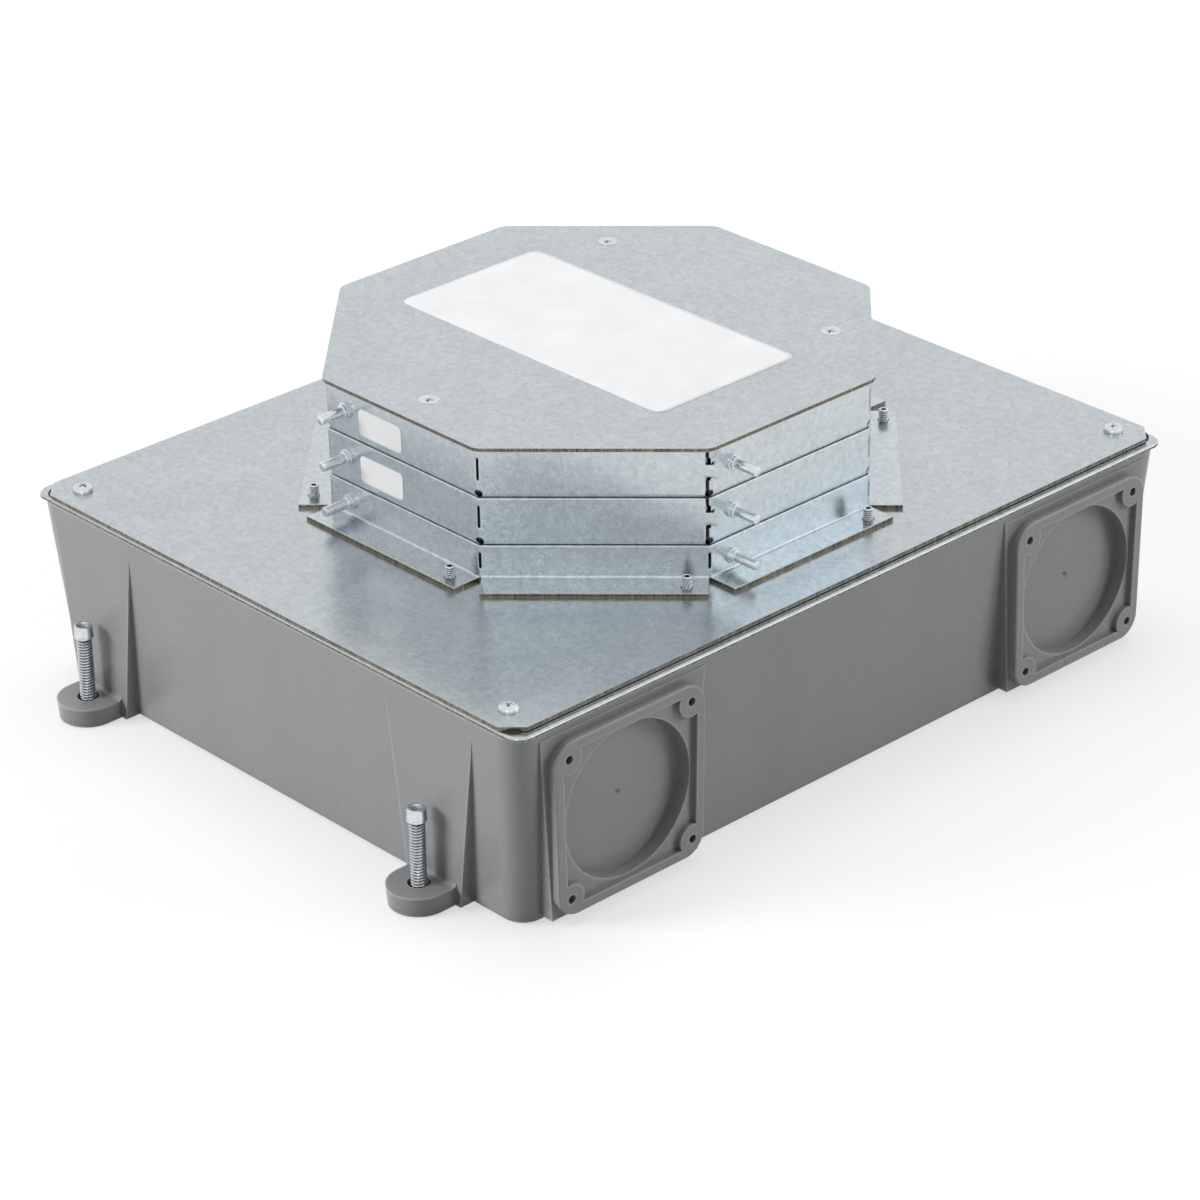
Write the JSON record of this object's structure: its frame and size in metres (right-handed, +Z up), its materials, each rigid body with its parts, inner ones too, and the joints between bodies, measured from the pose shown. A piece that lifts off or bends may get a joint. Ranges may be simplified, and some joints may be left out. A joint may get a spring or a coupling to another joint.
{
  "type": "floor_socket_box",
  "caption": "Cast-in floor socket box: drafted PVC box on levelling screws with conduit hub flanges, steel cover and stacked octagonal steel riser rings under a temporary cover.",
  "frame": {"origin": "middle of the box's underside, on the surface it stands on", "axes": "+Z up; +X along the two walls with the conduit hub flanges; +Y along the two walls with the levelling feet"},
  "size_m": [0.394, 0.2938, 0.1444],
  "materials": {
    "pvc": "satin moulded, mid grey, faint mould marks",
    "galvanised_steel": "galvanised sheet, faint spangle",
    "zinc_plated_steel": "bright zinc plate",
    "brass": "satin",
    "neoprene": "matte closed-cell foam",
    "green_passivated": "satin green"
  },
  "bodies": {
    "box": {"pvc_box": "pvc", "rim_seal": "neoprene", "mounting_frame": "galvanised_steel", "cover_seal": "neoprene", "cover_plate": "galvanised_steel", "cover_screws": "zinc_plated_steel", "cover_inserts": "brass", "levelling_inserts": "brass", "partition_panel": "galvanised_steel", "earth_screw": "green_passivated", "adjusting_screws": "zinc_plated_steel"},
    "riser_base": {"base_ring": "galvanised_steel", "base_ring_studs": "zinc_plated_steel", "ring_clinch_nuts": "zinc_plated_steel"},
    "riser_middle": {"middle_ring": "galvanised_steel", "middle_ring_studs": "zinc_plated_steel"},
    "riser_top": {"top_ring": "galvanised_steel", "top_ring_studs": "zinc_plated_steel"},
    "lid": {"temporary_cover": "galvanised_steel", "temporary_cover_screws": "zinc_plated_steel"},
    "leveller_left_front": {"levelling_screw_left_front": "zinc_plated_steel"},
    "leveller_left_rear": {"levelling_screw_left_rear": "zinc_plated_steel"},
    "leveller_right_rear": {"levelling_screw_right_rear": "zinc_plated_steel"},
    "leveller_right_front": {"levelling_screw_right_front": "zinc_plated_steel"}
  },
  "joints": [
    {"name": "riser_height", "type": "slide", "parent": "box", "child": "riser_base", "axis": [0, 0, 1], "range_m": [0, 0.004]},
    {"name": "middle_ring_lift", "type": "slide", "parent": "riser_base", "child": "riser_middle", "axis": [0, 0, 1], "range_m": [0, 0.04]},
    {"name": "top_ring_lift", "type": "slide", "parent": "riser_middle", "child": "riser_top", "axis": [0, 0, 1], "range_m": [0, 0.04]},
    {"name": "temporary_cover_lift", "type": "slide", "parent": "riser_top", "child": "lid", "axis": [0, 0, 1], "range_m": [0, 0.06]},
    {"name": "level_left_front", "type": "slide", "parent": "box", "child": "leveller_left_front", "axis": [0, 0, -1], "range_m": [-0.002, 0.026]},
    {"name": "level_left_rear", "type": "slide", "parent": "box", "child": "leveller_left_rear", "axis": [0, 0, -1], "range_m": [-0.002, 0.026]},
    {"name": "level_right_rear", "type": "slide", "parent": "box", "child": "leveller_right_rear", "axis": [0, 0, -1], "range_m": [-0.002, 0.026]},
    {"name": "level_right_front", "type": "slide", "parent": "box", "child": "leveller_right_front", "axis": [0, 0, -1], "range_m": [-0.002, 0.026]}
  ]
}
